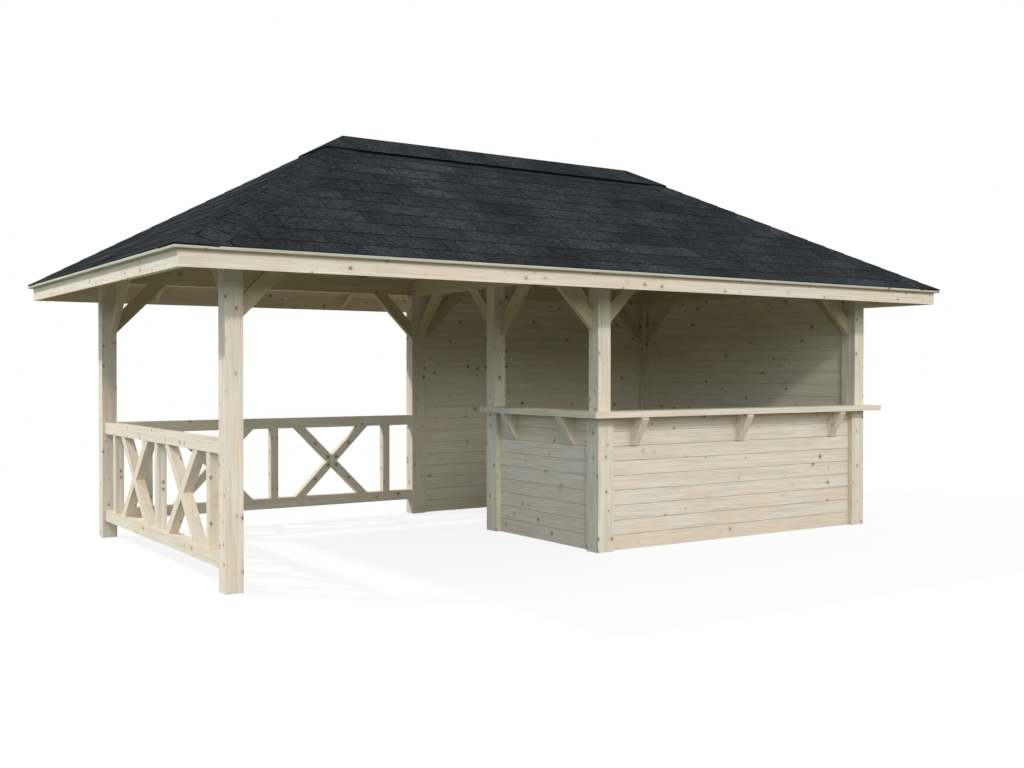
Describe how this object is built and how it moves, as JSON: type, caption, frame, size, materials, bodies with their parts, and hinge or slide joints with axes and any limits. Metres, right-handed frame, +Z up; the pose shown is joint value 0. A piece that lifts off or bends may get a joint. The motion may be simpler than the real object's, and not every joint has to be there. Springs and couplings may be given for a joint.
{
  "type": "garden gazebo",
  "caption": "Two-bay timber garden gazebo under a hipped shingle roof: an open seating bay with crossed balustrades beside a boarded bar bay with a wrap-round counter.",
  "frame": {"origin": "on the ground at the middle of the plan", "axes": "+X along the front from the seating bay to the bar, +Y from the front to the back, +Z up"},
  "size_m": [7.024, 4.044, 3.3293],
  "materials": {
    "frame_timber": "planed raw spruce",
    "wall_boards": "planed raw spruce boards",
    "counter_boards": "planed raw spruce boards",
    "roof_boards": "planed raw spruce boards",
    "bitumen_shingle": "mineral-grained bitumen shingle"
  },
  "bodies": {
    "root": {"post_front_left": "frame_timber", "post_front_middle": "frame_timber", "post_front_right": "frame_timber", "post_back_left": "frame_timber", "post_back_middle": "frame_timber", "post_back_right": "frame_timber", "post_bar": "frame_timber", "beam_front": "frame_timber", "beam_back": "frame_timber", "beam_left": "frame_timber", "beam_right": "frame_timber", "beam_middle": "frame_timber", "braces_front": "frame_timber", "braces_back": "frame_timber", "braces_left": "frame_timber", "braces_right": "frame_timber", "braces_middle": "frame_timber", "wall_back": "wall_boards", "wall_right": "wall_boards", "bar_wall_front": "wall_boards", "bar_wall_side": "wall_boards", "wall_battens": "frame_timber", "counter_front": "counter_boards", "counter_side": "counter_boards", "counter_brackets": "counter_boards", "left_rails": "frame_timber", "left_infill": "frame_timber", "back_rails": "frame_timber", "back_infill": "frame_timber", "ridge_board": "roof_boards", "hip_rafters": "roof_boards", "long_rafters": "roof_boards", "end_rafters": "roof_boards", "deck_front": "roof_boards", "deck_back": "roof_boards", "deck_left": "roof_boards", "deck_right": "roof_boards", "fascia_front": "frame_timber", "fascia_back": "frame_timber", "fascia_left": "frame_timber", "fascia_right": "frame_timber", "shingles_front": "bitumen_shingle", "shingles_back": "bitumen_shingle", "shingles_left": "bitumen_shingle", "shingles_right": "bitumen_shingle", "ridge_cap": "bitumen_shingle"}
  },
  "joints": []
}
